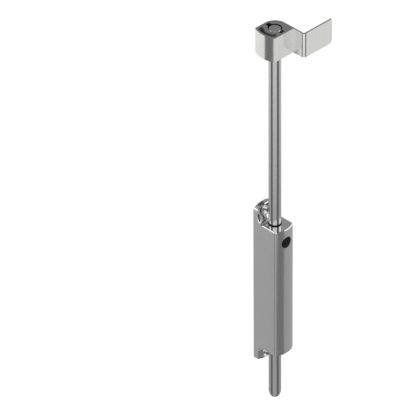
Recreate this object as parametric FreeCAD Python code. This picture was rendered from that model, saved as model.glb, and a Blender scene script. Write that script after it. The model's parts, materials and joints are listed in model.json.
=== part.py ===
"""Surface-mounted gate drop bolt: a milled aluminium housing, a sliding stainless rod and a handle.

Millimetres. +Z is up along the rod, -Y is the front and the gate lies behind the plane y = 0.
The origin is the centre of the housing's back face.
"""
import FreeCAD, Part
import math
import os

V = FreeCAD.Vector
X_AXIS, Y_AXIS, Z_AXIS = V(1, 0, 0), V(0, 1, 0), V(0, 0, 1)

# Rod
rod_diameter = 16.0
rod_length = 561.0
rod_tip_radius = 7.2          # ball at the lower end
rod_tip_cone_angle = 15.0     # half angle of the lead-in above the ball, degrees
rod_top_chamfer = 0.6
rod_below_block = 78.6        # rod showing under the housing's thick part, at rest
rod_to_crown = 21.0           # rod axis to the crown of the housing's front

# Housing
housing_width = 32.0
housing_depth = 43.0
front_sagitta = 5.0           # bulge of the curved front
front_corner_radius = 2.5
housing_length = 239.2
upper_lobe_height = 23.2      # lobe beyond the thick part
lower_lobe_height = 24.4
lobe_thickness = 7.0
lobe_end_radius = 32.0        # arch of each end
lobe_corner_radius = 3.0
recess_radius = 10.0          # milled fillet between lobe and thick part
edge_chamfer = 0.8
main_bore_diameter = 24.0
top_wall = 3.0

# Fixing holes, for countersunk M8 screws that are not part of the bolt
fixing_end_distance = 8.4     # hole centre from the end of the lobe
fixing_hole_diameter = 9.0
countersink_diameter = 13.6   # cone of 90 degrees

# Bushes, wipers and lower retaining ring
upper_bush_length = 24.0
bush_wall_cover = 0.05        # gap round each fixed bush, ring or screw
running_gap = 0.05            # gap round what slides or turns
wiper_lip_wall = 0.6
wiper_lip_height = 1.5        # lip above the top of the thick part
wiper_flange_thickness = 1.4
lower_bush_length = 12.4
lower_seat_diameter = 26.0
lower_ring_edge = 1.3         # housing below the retaining ring
ring_thickness = 1.2
ring_groove_depth = 0.6
ring_radial_width = 2.6
ring_gap_angle = 50.0
lower_wiper_thickness = 1.6

# Travel and collar
raise_travel = 55.0           # the drop, 75, is what the housing's length leaves
stop_gap = 0.15               # clearance left at each end of the travel
collar_length = 14.0
key_width = 4.0
key_length = 12.0
key_height = 4.0
key_depth_in_collar = 2.2
keyway_clearance = 0.1
turn_angle = 90.0
dog_screw_diameter = 5.0
dog_diameter = 3.0
dog_reach = 1.3               # dog below the rod's surface
dog_groove_depth = 1.6
dog_clearance = 0.1
rod_groove_depth = 0.8

# Brake and its cap
brake_below_block_top = 19.5
brake_bore_diameter = 10.0
shoe_diameter = 9.8
shoe_pocket_diameter = 7.0
shoe_pocket_depth = 2.0
spring_wire = 0.8
spring_mean_diameter = 5.6
spring_turns = 4.0
spring_wire_sides = 12        # the wire's section is a regular polygon
brake_screw_gap = 2.3         # between the shoe's back and the screw
brake_screw_length = 2.5
brake_screw_pocket_depth = 0.8
brake_screw_socket_flats = 5.0
brake_screw_socket_depth = 1.0
cap_diameter = 15.6
cap_plug_diameter = 12.8
cap_plug_length = 2.3
cap_plug_gap = 0.25           # between the plug and the screw behind it
cap_seat_depth = 1.2          # the cap's face is level with the crown of the front
cap_seat_clearance = 0.15
cap_dome_height = 0.4

# Handle
handle_height = 35.0
handle_above_rod = 0.8
hub_half_depth = 17.0
hub_left_reach = 21.4         # rod axis to the crown of the bulged side
hub_left_corner = 17.2        # rod axis to the corners of that side
hub_corner_radius = 0.4
blade_thickness = 2.2
blade_front_reach = 35.4      # rod axis to the blade's front face
blade_end_reach = 63.4        # rod axis to the blade's end
blade_bend_radius = 4.0       # outside of the bend
blade_root_fillet = 1.5
blade_top_corner_radius = 0.8
blade_bottom_corner_radius = 5.0
pocket_wall = 3.0
pocket_front_wall = 3.6
pocket_hub_radius = 13.7
pocket_inner_limit = 9.0
pocket_corner_radius = 1.0
slot_width = 5.5
slot_half_length = 13.2
handle_counterbore_diameter = 18.0
handle_counterbore_depth = 3.0
cross_pin_diameter = 5.0
cross_pin_length = 25.6
set_screw_diameter = 6.0
set_screw_spacing = 17.0
set_screw_recess = 0.8
set_screw_socket_flats = 3.0
set_screw_socket_depth = 3.0

# Derived places
rod_r = rod_diameter / 2
bore_r = main_bore_diameter / 2
rod_setback = housing_depth - rod_to_crown         # rod axis in front of the gate face
lobe_top = housing_length / 2
block_top = lobe_top - upper_lobe_height
block_bottom = lower_lobe_height - lobe_top
fixing_z = lobe_top - fixing_end_distance
rod_tip_z = block_bottom - rod_below_block
rod_top_z = rod_tip_z + rod_length
handle_top_z = rod_top_z + handle_above_rod
handle_bottom_z = handle_top_z - handle_height
handle_mid_z = handle_top_z - handle_height / 2

wiper_bottom_z = block_top - top_wall - wiper_flange_thickness
upper_bush_bottom_z = wiper_bottom_z - upper_bush_length
stack_top_z = upper_bush_bottom_z - stop_gap - raise_travel
collar_top_z = stack_top_z - ring_thickness
collar_bottom_z = collar_top_z - collar_length
collar_mid_z = (collar_top_z + collar_bottom_z) / 2
stack_bottom_z = collar_bottom_z - ring_thickness
lower_ring_bottom_z = block_bottom + lower_ring_edge
lower_ring_top_z = lower_ring_bottom_z + ring_thickness
lower_bush_bottom_z = lower_ring_top_z + lower_wiper_thickness
lower_bush_top_z = lower_bush_bottom_z + lower_bush_length
drop_travel = stack_bottom_z - stop_gap - lower_bush_top_z
lower_seat_r = lower_seat_diameter / 2

brake_z = block_top - brake_below_block_top
cap_seat_reach = rod_to_crown - cap_seat_depth
cap_rim_height = cap_seat_depth - cap_dome_height
brake_screw_outer_reach = cap_seat_reach - cap_plug_length - cap_plug_gap
brake_screw_inner_reach = brake_screw_outer_reach - brake_screw_length
shoe_face_reach = rod_r + running_gap
shoe_back_reach = brake_screw_inner_reach - brake_screw_gap
shoe_pocket_reach = shoe_back_reach - shoe_pocket_depth
spring_end_reach = brake_screw_inner_reach + brake_screw_pocket_depth

lobe_front_y = -lobe_thickness


def at_rod(x, y, z):
    """A point given from the rod's axis instead of the gate face."""
    return V(x, y - rod_setback, z)


def cylinder(radius, start, direction, length):
    return Part.makeCylinder(radius, length, start, direction)


def rod_ring(outer_r, inner_r, z_low, z_high):
    """A plain ring round the rod's axis."""
    height = z_high - z_low
    outer = cylinder(outer_r, at_rod(0, 0, z_low), Z_AXIS, height)
    return outer.cut(cylinder(inner_r, at_rod(0, 0, z_low), Z_AXIS, height))


def hexagon(flats, centre, axis, depth):
    """A hexagonal prism for a socket, from the centre along the axis."""
    radius = flats / math.sqrt(3)
    first = Z_AXIS if axis != Z_AXIS else X_AXIS
    second = axis.cross(first)
    corners = []
    for i in range(6):
        angle = math.radians(60 * i)
        corners.append(centre + first * (radius * math.cos(angle)) + second * (radius * math.sin(angle)))
    return Part.Face(Part.makePolygon(corners + corners[:1])).extrude(axis * depth)


def wire_prism(edges, direction):
    return Part.Face(Part.Wire(Part.__sortEdges__(edges))).extrude(direction)


def arc(start, middle, end):
    return Part.Arc(start, middle, end).toShape()


def line(start, end):
    return Part.LineSegment(start, end).toShape()


def housing_section_prism():
    """The housing's extrusion: flat back and sides, a front that is one arc, eased corners."""
    half = housing_width / 2
    corner_y = front_sagitta - housing_depth
    low = -lobe_top
    back_left, back_right = V(-half, 0, low), V(half, 0, low)
    front_left, front_right = V(-half, corner_y, low), V(half, corner_y, low)
    edges = [
        line(back_left, back_right),
        line(back_right, front_right),
        arc(front_right, V(0, -housing_depth, low), front_left),
        line(front_left, back_left),
    ]
    prism = wire_prism(edges, Z_AXIS * housing_length)
    upright = [e for e in prism.Edges if abs(e.Vertexes[0].Z - e.Vertexes[-1].Z) > housing_length / 2]
    front = [e for e in upright if e.Vertexes[0].Y < -housing_depth / 2]
    return prism.makeFillet(front_corner_radius, front)


def lobe_outline_prism():
    """Front view of the housing: straight sides and an arched end at the top and bottom."""
    half = housing_width / 2
    drop = lobe_end_radius - math.sqrt(lobe_end_radius**2 - half**2)
    start_y = housing_depth
    corner = lobe_top - drop
    edges = [
        line(V(-half, start_y, -corner), V(-half, start_y, corner)),
        arc(V(-half, start_y, corner), V(0, start_y, lobe_top), V(half, start_y, corner)),
        line(V(half, start_y, corner), V(half, start_y, -corner)),
        arc(V(half, start_y, -corner), V(0, start_y, -lobe_top), V(-half, start_y, -corner)),
    ]
    prism = wire_prism(edges, Y_AXIS * (-2 * housing_depth))
    across = [e for e in prism.Edges if abs(e.Vertexes[0].Y - e.Vertexes[-1].Y) > housing_depth]
    return prism.makeFillet(lobe_corner_radius, across)


def recess_prism(level, away):
    """What is milled off in front of a lobe, beyond the level; away is +1 at the top, -1 below."""
    past_end = away * (lobe_top + lobe_thickness)
    past_front = -housing_depth - lobe_thickness
    left = -housing_width
    front = lobe_front_y
    r = recess_radius
    elbow = V(left, front - r + r * math.sqrt(0.5), level + away * (r - r * math.sqrt(0.5)))
    edges = [
        line(V(left, front, past_end), V(left, front, level + away * r)),
        arc(V(left, front, level + away * r), elbow, V(left, front - r, level)),
        line(V(left, front - r, level), V(left, past_front, level)),
        line(V(left, past_front, level), V(left, past_front, past_end)),
        line(V(left, past_front, past_end), V(left, front, past_end)),
    ]
    return wire_prism(edges, X_AXIS * (2 * housing_width))


def rim_edges(body):
    """The edges that are eased: the outline of each milled end."""
    tiny = 1e-4
    picked = []
    for edge in body.Edges:
        box = edge.BoundBox
        at_end = box.ZMin > block_top - tiny or box.ZMax < block_bottom + tiny
        milled = at_end and box.YMax < lobe_front_y + tiny
        seam = box.XLength > housing_width - 1 and box.YLength < tiny
        if milled and not seam:
            picked.append(edge)
    return picked


def housing():
    body = housing_section_prism().common(lobe_outline_prism())
    body = body.cut(recess_prism(block_top, 1)).cut(recess_prism(block_bottom, -1))
    body = body.removeSplitter()
    body = body.makeChamfer(edge_chamfer, rim_edges(body))

    bore_top = block_top - top_wall
    body = body.cut(cylinder(bore_r, at_rod(0, 0, block_bottom - 1), Z_AXIS, bore_top - block_bottom + 1))
    lip_r = rod_r + running_gap + wiper_lip_wall + bush_wall_cover
    body = body.cut(cylinder(lip_r, at_rod(0, 0, bore_top - 1), Z_AXIS, lobe_top - bore_top + 1))
    seat_length = lower_bush_top_z - block_bottom
    body = body.cut(cylinder(lower_seat_r, at_rod(0, 0, block_bottom - 1), Z_AXIS, seat_length + 1))
    groove = cylinder(lower_seat_r + ring_groove_depth, at_rod(0, 0, lower_ring_bottom_z - bush_wall_cover),
                      Z_AXIS, ring_thickness + 2 * bush_wall_cover)
    body = body.cut(groove)

    keyway_half = key_width / 2 + keyway_clearance
    keyway_depth = key_height - key_depth_in_collar + keyway_clearance
    keyway = Part.makeBox(2 * keyway_half, bore_r + keyway_depth, bore_top - block_bottom + 1,
                          at_rod(-keyway_half, 0, block_bottom - 1))
    body = body.cut(keyway)

    brake_start = at_rod(0, 0, brake_z)
    body = body.cut(cylinder(brake_bore_diameter / 2, brake_start, -Y_AXIS, cap_seat_reach))
    plug_reach = cap_seat_reach - cap_plug_length - bush_wall_cover
    body = body.cut(cylinder(cap_plug_diameter / 2 + bush_wall_cover, at_rod(0, -plug_reach, brake_z),
                             -Y_AXIS, housing_depth))
    body = body.cut(cylinder(cap_diameter / 2 + cap_seat_clearance, at_rod(0, -cap_seat_reach, brake_z),
                             -Y_AXIS, housing_depth))
    hole_r, cone_r = fixing_hole_diameter / 2, countersink_diameter / 2
    for z in (fixing_z, -fixing_z):
        body = body.cut(cylinder(hole_r, V(0, 1, z), -Y_AXIS, lobe_thickness + 2))
        cone_depth = cone_r - hole_r
        body = body.cut(Part.makeCone(hole_r, cone_r + 1, cone_depth + 1,
                                      V(0, lobe_front_y + cone_depth, z), -Y_AXIS))
    return body


def upper_bush():
    bush = rod_ring(bore_r - bush_wall_cover, rod_r + running_gap, upper_bush_bottom_z, wiper_bottom_z)
    window = cylinder(brake_bore_diameter / 2 + bush_wall_cover, at_rod(0, 0, brake_z), -Y_AXIS, bore_r + 1)
    return bush.cut(window)


def lower_bush():
    outer = lower_seat_r - bush_wall_cover
    return rod_ring(outer, rod_r + running_gap, lower_bush_bottom_z, lower_bush_top_z)


def upper_wiper():
    """Rubber ring with a thin lip up through the top wall and a flange held under it."""
    bore_top = block_top - top_wall
    inner = rod_r + running_gap
    lip = rod_ring(inner + wiper_lip_wall, inner, bore_top, block_top + wiper_lip_height)
    flange = rod_ring(bore_r - bush_wall_cover, inner, wiper_bottom_z, bore_top)
    return lip.fuse(flange).removeSplitter()


def lower_wiper():
    outer = lower_seat_r - bush_wall_cover
    return rod_ring(outer, rod_r + running_gap, lower_ring_top_z, lower_bush_bottom_z)


def open_ring(outer_r, inner_r, z_low, z_high, gap_centre_angle):
    """A retaining ring: a flat ring with a gap, its ends widened into small lugs."""
    ring = rod_ring(outer_r, inner_r, z_low, z_high)
    reach = 2 * outer_r
    corners = [at_rod(0, 0, z_low)]
    for side in (-0.5, 0.5):
        angle = math.radians(gap_centre_angle + side * ring_gap_angle)
        corners.append(at_rod(reach * math.cos(angle), reach * math.sin(angle), z_low))
    wedge = Part.Face(Part.makePolygon(corners + corners[:1])).extrude(Z_AXIS * (z_high - z_low))
    return ring.cut(wedge)


def lower_ring():
    outer = lower_seat_r + ring_groove_depth - bush_wall_cover
    return open_ring(outer, lower_seat_r - ring_radial_width, lower_ring_bottom_z, lower_ring_top_z, -90)


def rod_rings():
    inner = rod_r - rod_groove_depth + bush_wall_cover
    outer = inner + ring_radial_width
    upper = open_ring(outer, inner, collar_top_z, stack_top_z, 90)
    lower = open_ring(outer, inner, stack_bottom_z, collar_bottom_z, 90)
    return Part.makeCompound([upper, lower])


def key_box(clearance, z_low, z_high):
    """The key's block, or its slot when it gets a clearance."""
    half = key_width / 2 + clearance
    collar_outer = bore_r - running_gap
    low_y = collar_outer - key_depth_in_collar - clearance
    high_y = low_y + key_height + clearance
    return Part.makeBox(2 * half, high_y - low_y, z_high - z_low, at_rod(-half, low_y, z_low))


def stop_collar():
    collar = rod_ring(bore_r - running_gap, rod_r + running_gap, collar_bottom_z, collar_top_z)
    collar = collar.cut(key_box(bush_wall_cover, collar_mid_z - key_length / 2 - bush_wall_cover,
                                collar_mid_z + key_length / 2 + bush_wall_cover))
    return collar.cut(cylinder(dog_screw_diameter / 2 + bush_wall_cover, at_rod(0, 0, collar_mid_z),
                               -Y_AXIS, main_bore_diameter))


def collar_key():
    return key_box(0, collar_mid_z - key_length / 2, collar_mid_z + key_length / 2)


def dog_screw():
    """Screw sunk in the collar: the rim of its flat end stays inside the collar's round side."""
    body_r = dog_screw_diameter / 2
    outer_reach = math.sqrt((bore_r - running_gap)**2 - body_r**2) - running_gap
    body_reach = rod_r + 2 * running_gap
    body = cylinder(body_r, at_rod(0, -body_reach, collar_mid_z), -Y_AXIS, outer_reach - body_reach)
    dog = cylinder(dog_diameter / 2, at_rod(0, dog_reach - rod_r, collar_mid_z), -Y_AXIS,
                   body_reach - rod_r + dog_reach)
    screw = body.fuse(dog).removeSplitter()
    socket = hexagon(dog_diameter * 0.8, at_rod(0, -outer_reach, collar_mid_z), Y_AXIS, dog_diameter / 2)
    return screw.cut(socket)


def rod_profile():
    """Outline of the rod from its tip up: ball, cone lead-in, straight side and top chamfer."""
    cone = math.radians(rod_tip_cone_angle)
    ball_z = rod_tip_z + rod_tip_radius
    touch_r = rod_tip_radius * math.cos(cone)
    touch_z = ball_z - rod_tip_radius * math.sin(cone)
    side_z = touch_z + (rod_r - touch_r) / math.tan(cone)
    middle = (math.radians(-90) - cone) / 2
    ball_mid = at_rod(rod_tip_radius * math.cos(middle), 0, ball_z + rod_tip_radius * math.sin(middle))
    points = [
        at_rod(touch_r, 0, touch_z),
        at_rod(rod_r, 0, side_z),
        at_rod(rod_r, 0, rod_top_z - rod_top_chamfer),
        at_rod(rod_r - rod_top_chamfer, 0, rod_top_z),
        at_rod(0, 0, rod_top_z),
        at_rod(0, 0, rod_tip_z),
    ]
    edges = [arc(points[-1], ball_mid, points[0])]
    edges += [line(a, b) for a, b in zip(points[:-1], points[1:])]
    return Part.Face(Part.Wire(edges))


def dog_groove():
    """Part-round groove in the rod: the dog can move along it by the turn angle, and no further."""
    half_height = dog_diameter / 2 + dog_clearance
    floor_r = rod_r - dog_groove_depth
    ring = rod_ring(rod_r + 1, floor_r, collar_mid_z - half_height, collar_mid_z + half_height)
    start = math.radians(-90)
    stop = math.radians(-90 + turn_angle)
    reach = 2 * rod_diameter
    corners = [at_rod(0, 0, collar_mid_z - half_height)]
    for angle in (start, (start + stop) / 2, stop):
        corners.append(at_rod(reach * math.cos(angle), reach * math.sin(angle), collar_mid_z - half_height))
    wedge = Part.Face(Part.makePolygon(corners + corners[:1])).extrude(Z_AXIS * (2 * half_height))
    groove = ring.common(wedge)
    for angle in (start, stop):
        outward = V(math.cos(angle), math.sin(angle), 0)
        end = cylinder(half_height, at_rod(0, 0, collar_mid_z) + outward * floor_r, outward, rod_diameter)
        groove = groove.fuse(end)
    return groove


def rod():
    bar = rod_profile().revolve(at_rod(0, 0, 0), Z_AXIS, 360)
    for low, high in ((collar_top_z, stack_top_z), (stack_bottom_z, collar_bottom_z)):
        groove = rod_ring(rod_diameter, rod_r - rod_groove_depth, low, high)
        bar = bar.cut(groove)
    bar = bar.cut(dog_groove())
    pin_hole = cylinder(cross_pin_diameter / 2 + bush_wall_cover, at_rod(0, -rod_diameter, handle_mid_z),
                        Y_AXIS, 2 * rod_diameter)
    return bar.cut(pin_hole)


def brake_shoe():
    shoe = cylinder(shoe_diameter / 2, at_rod(0, 0, brake_z), -Y_AXIS, shoe_back_reach)
    below_shoe = at_rod(0, 0, brake_z - shoe_diameter)
    shoe = shoe.cut(cylinder(shoe_face_reach, below_shoe, Z_AXIS, 2 * shoe_diameter))
    return shoe.cut(cylinder(shoe_pocket_diameter / 2, at_rod(0, -shoe_pocket_reach, brake_z), -Y_AXIS,
                             shoe_diameter))


def brake_spring():
    """Compression spring between the shoe's pocket and the screw's pocket."""
    height = spring_end_reach - shoe_pocket_reach - spring_wire
    mean_r, wire_r = spring_mean_diameter / 2, spring_wire / 2
    helix = Part.makeHelix(height / spring_turns, height, mean_r)
    corners = []
    for i in range(spring_wire_sides):
        angle = 2 * math.pi * i / spring_wire_sides
        corners.append(V(mean_r + wire_r * math.cos(angle), 0, wire_r * math.sin(angle)))
    section = Part.makePolygon(corners + corners[:1])
    coil = Part.Wire(helix).makePipeShell([section], True, True)
    coil.rotate(V(0, 0, 0), X_AXIS, 90)
    coil.translate(at_rod(0, -shoe_pocket_reach - spring_wire / 2, brake_z))
    return coil


def brake_screw():
    inner, outer = brake_screw_inner_reach, brake_screw_outer_reach
    start = at_rod(0, -inner, brake_z)
    screw = cylinder(brake_bore_diameter / 2 - bush_wall_cover, start, -Y_AXIS, outer - inner)
    screw = screw.cut(cylinder(shoe_pocket_diameter / 2, start, -Y_AXIS, brake_screw_pocket_depth))
    return screw.cut(hexagon(brake_screw_socket_flats, at_rod(0, -outer, brake_z), Y_AXIS,
                             brake_screw_socket_depth))


def brake_cap():
    """Push-in cap: a plug, a flat rim on its seat and a shallow domed face."""
    plug_r, head_r = cap_plug_diameter / 2, cap_diameter / 2
    seat = at_rod(0, -cap_seat_reach, brake_z)
    rim = cylinder(head_r, seat, -Y_AXIS, cap_rim_height)
    dome_r = (head_r**2 + cap_dome_height**2) / (2 * cap_dome_height)
    face_reach = cap_seat_reach + cap_rim_height + cap_dome_height
    ball = Part.makeSphere(dome_r, at_rod(0, dome_r - face_reach, brake_z))
    dome = ball.common(cylinder(head_r, seat - Y_AXIS * cap_rim_height, -Y_AXIS, housing_depth))
    plug = cylinder(plug_r, seat, Y_AXIS, cap_plug_length)
    return rim.fuse(dome).fuse(plug).removeSplitter()


def handle_outline():
    """Plan of the handle: hub with one bulged side and one round corner, and the bent-out blade."""
    half, low = hub_half_depth, handle_bottom_z
    front, back = -blade_front_reach, -blade_front_reach + blade_thickness
    inner_x = half - blade_thickness
    outer_r = blade_bend_radius
    inner_r = outer_r - blade_thickness
    bend_x, bend_y = half + inner_r, back + inner_r
    root = blade_root_fillet
    diagonal = math.sqrt(0.5)

    def p(x, y):
        return at_rod(x, y, low)

    left_back, left_front = p(-hub_left_corner, half), p(-hub_left_corner, -half)
    root_x, root_y = inner_x - root, -half - root
    return [
        line(left_back, p(0, half)),
        arc(p(0, half), p(half * diagonal, half * diagonal), p(half, 0)),
        line(p(half, 0), p(half, bend_y)),
        arc(p(half, bend_y), p(bend_x - inner_r * diagonal, bend_y - inner_r * diagonal), p(bend_x, back)),
        line(p(bend_x, back), p(blade_end_reach, back)),
        line(p(blade_end_reach, back), p(blade_end_reach, front)),
        line(p(blade_end_reach, front), p(bend_x, front)),
        arc(p(bend_x, front), p(bend_x - outer_r * diagonal, bend_y - outer_r * diagonal),
            p(inner_x, bend_y)),
        line(p(inner_x, bend_y), p(inner_x, root_y)),
        arc(p(inner_x, root_y), p(root_x + root * diagonal, root_y + root * diagonal), p(root_x, -half)),
        line(p(root_x, -half), left_front),
        arc(left_front, p(-hub_left_reach, 0), left_back),
    ]


def handle_pocket():
    """Hollow between the bulged wall and the hub round the rod."""
    low = handle_bottom_z - 1
    height = handle_height + 2
    bulge = hub_left_reach - hub_left_corner
    wall_r = (hub_half_depth**2 + bulge**2) / (2 * bulge)
    inside = cylinder(wall_r - pocket_wall, at_rod(wall_r - hub_left_reach, 0, low), Z_AXIS, height)
    half = hub_half_depth - pocket_front_wall
    left = -hub_left_reach
    limits = Part.makeBox(-pocket_inner_limit - left, 2 * half, height, at_rod(left, -half, low))
    pocket = inside.common(limits)
    pocket = pocket.cut(cylinder(pocket_hub_radius, at_rod(0, 0, low), Z_AXIS, height))
    upright = [e for e in pocket.Edges if abs(e.Vertexes[0].Z - e.Vertexes[-1].Z) > handle_height]
    return pocket.makeFillet(pocket_corner_radius, upright)


def handle():
    body = wire_prism(handle_outline(), Z_AXIS * handle_height)
    corners = [e for e in body.Edges
               if e.BoundBox.ZLength > handle_height / 2 and e.BoundBox.XMax < 1 - hub_left_corner]
    body = body.makeFillet(hub_corner_radius, corners)
    ends = ((handle_top_z, blade_top_corner_radius), (handle_bottom_z, blade_bottom_corner_radius))
    for level, radius in ends:
        corners = [e for e in body.Edges
                   if e.BoundBox.XMin > blade_end_reach - 1e-3 and e.BoundBox.ZLength < 1e-3
                   and abs(e.BoundBox.ZMin - level) < 1e-3]
        body = body.makeFillet(radius, corners)

    body = body.cut(handle_pocket())
    low = handle_bottom_z - 1
    body = body.cut(cylinder(rod_r + bush_wall_cover, at_rod(0, 0, low), Z_AXIS, handle_height + 2))
    body = body.cut(Part.makeBox(slot_width, 2 * slot_half_length, handle_height + 2,
                                 at_rod(-slot_width / 2, -slot_half_length, low)))
    body = body.cut(cylinder(handle_counterbore_diameter / 2,
                             at_rod(0, 0, handle_top_z - handle_counterbore_depth), Z_AXIS, handle_height))
    for z in set_screw_levels():
        body = body.cut(cylinder(set_screw_diameter / 2 + bush_wall_cover, at_rod(0, 0, z), X_AXIS,
                                 2 * hub_half_depth))
    return body


def set_screw_levels():
    return (handle_mid_z - set_screw_spacing / 2, handle_mid_z + set_screw_spacing / 2)


def handle_set_screws():
    screws = []
    inner, outer = rod_r + bush_wall_cover, hub_half_depth - set_screw_recess
    for z in set_screw_levels():
        screw = cylinder(set_screw_diameter / 2, at_rod(inner, 0, z), X_AXIS, outer - inner)
        socket = hexagon(set_screw_socket_flats, at_rod(outer, 0, z), -X_AXIS, set_screw_socket_depth)
        screws.append(screw.cut(socket))
    return Part.makeCompound(screws)


def cross_pin():
    return cylinder(cross_pin_diameter / 2, at_rod(0, -cross_pin_length / 2, handle_mid_z), Y_AXIS,
                    cross_pin_length)


NODES = {
    "housing": housing,
    "upper_bush": upper_bush,
    "lower_bush": lower_bush,
    "upper_wiper": upper_wiper,
    "lower_wiper": lower_wiper,
    "lower_ring": lower_ring,
    "brake_shoe": brake_shoe,
    "brake_spring": brake_spring,
    "brake_screw": brake_screw,
    "brake_cap": brake_cap,
    "stop_collar": stop_collar,
    "collar_key": collar_key,
    "dog_screw": dog_screw,
    "rod": rod,
    "rod_rings": rod_rings,
    "handle": handle,
    "cross_pin": cross_pin,
    "handle_set_screws": handle_set_screws,
}


def main():
    os.makedirs("parts", exist_ok=True)
    for name, make in NODES.items():
        shape = make()
        shape.exportStep("parts/" + name + ".step")
        print(name, "valid" if shape.isValid() else "not valid", len(shape.Solids), "solids",
              round(shape.Volume, 1), "mm3")
    print("rod from", round(rod_tip_z, 2), "to", round(rod_top_z, 2))
    print("handle from", round(handle_bottom_z, 2), "to", round(handle_top_z, 2))
    print("collar from", round(collar_bottom_z, 2), "to", round(collar_top_z, 2))
    print("lower bush from", round(lower_bush_bottom_z, 2), "to", round(lower_bush_top_z, 2))
    print("raise", round(raise_travel, 2), "drop", round(drop_travel, 2))


main()
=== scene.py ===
"""Looks of a gate bolt: finer pieces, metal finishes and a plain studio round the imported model.

Run as a script in Blender. All lengths are metres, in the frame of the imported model: +Z runs up
along the rod, -Y is the front and the gate lies behind y = 0.
"""

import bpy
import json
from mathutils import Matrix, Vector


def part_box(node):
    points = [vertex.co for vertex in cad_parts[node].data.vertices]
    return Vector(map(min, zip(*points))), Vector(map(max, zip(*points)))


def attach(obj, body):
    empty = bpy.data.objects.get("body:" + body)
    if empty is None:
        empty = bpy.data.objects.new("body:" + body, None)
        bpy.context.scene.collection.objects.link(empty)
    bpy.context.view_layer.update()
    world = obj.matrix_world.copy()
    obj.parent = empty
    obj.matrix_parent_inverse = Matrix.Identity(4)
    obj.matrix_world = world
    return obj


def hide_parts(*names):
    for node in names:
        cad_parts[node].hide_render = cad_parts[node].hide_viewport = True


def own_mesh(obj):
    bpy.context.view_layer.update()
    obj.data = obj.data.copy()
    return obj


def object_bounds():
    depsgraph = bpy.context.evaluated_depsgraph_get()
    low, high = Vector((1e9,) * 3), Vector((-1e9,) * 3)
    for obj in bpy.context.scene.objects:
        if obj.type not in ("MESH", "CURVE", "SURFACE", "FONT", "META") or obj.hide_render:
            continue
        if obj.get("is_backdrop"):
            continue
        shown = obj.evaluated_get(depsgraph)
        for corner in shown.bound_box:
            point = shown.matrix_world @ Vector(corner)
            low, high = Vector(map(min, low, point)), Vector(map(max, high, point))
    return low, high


bl_info = {
    "name": "Gate bolt looks",
    "version": (1, 0, 0),
    "blender": (4, 5, 0),
    "location": "3D view > Sidebar > Gate bolt",
    "description": "Builds the finer pieces, finishes and studio of a gate bolt",
    "category": "Object",
}

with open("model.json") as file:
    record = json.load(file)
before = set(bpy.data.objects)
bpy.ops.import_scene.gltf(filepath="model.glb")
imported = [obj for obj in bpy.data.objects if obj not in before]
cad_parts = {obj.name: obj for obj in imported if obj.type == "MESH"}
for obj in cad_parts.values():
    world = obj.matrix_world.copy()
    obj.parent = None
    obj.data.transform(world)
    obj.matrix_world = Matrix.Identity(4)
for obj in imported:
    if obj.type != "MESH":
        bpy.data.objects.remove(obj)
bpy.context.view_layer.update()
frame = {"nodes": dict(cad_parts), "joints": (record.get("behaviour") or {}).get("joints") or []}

import json
import math
from functools import cache

import bmesh
import bpy
import numpy as np
from bpy.props import FloatProperty, FloatVectorProperty, PointerProperty
from mathutils import Matrix, Vector
from mathutils.geometry import tessellate_polygon

MM = 0.001
ROD_Y = -22.0 * MM          # the rod's axis stands in front of the gate face
SMOOTH_LIMIT = 25.0         # edges that turn more than this stay sharp, in degrees
SAME_POINT = 1e-7           # points nearer than this are one
PAST = MM                   # how far a cutter goes past the face that it opens
STEP = 0.03 * MM            # width of the line where one finish of the housing meets another


def like(kind, fit, **common):
    """A maker of like properties: each key gets a value and a description, and names itself."""
    def made(**keys):
        return {key: kind(name=key.replace("_", " ").capitalize(), description=text,
                          default=fit(value), **common) for key, (value, text) in keys.items()}
    return made


lengths = like(FloatProperty, lambda size: size * MM, min=0.0, unit="LENGTH", precision=5)
turns = like(FloatProperty, math.radians, unit="ROTATION")
shares = like(FloatProperty, float, min=0.0, max=1.0, subtype="FACTOR")
lights = like(FloatProperty, float, min=0.0, max=4.0, subtype="FACTOR")
tones = like(FloatVectorProperty, lambda tone: tuple(np.broadcast_to(tone, 3)), size=3, min=0.0,
             max=1.0, subtype="COLOR")


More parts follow.
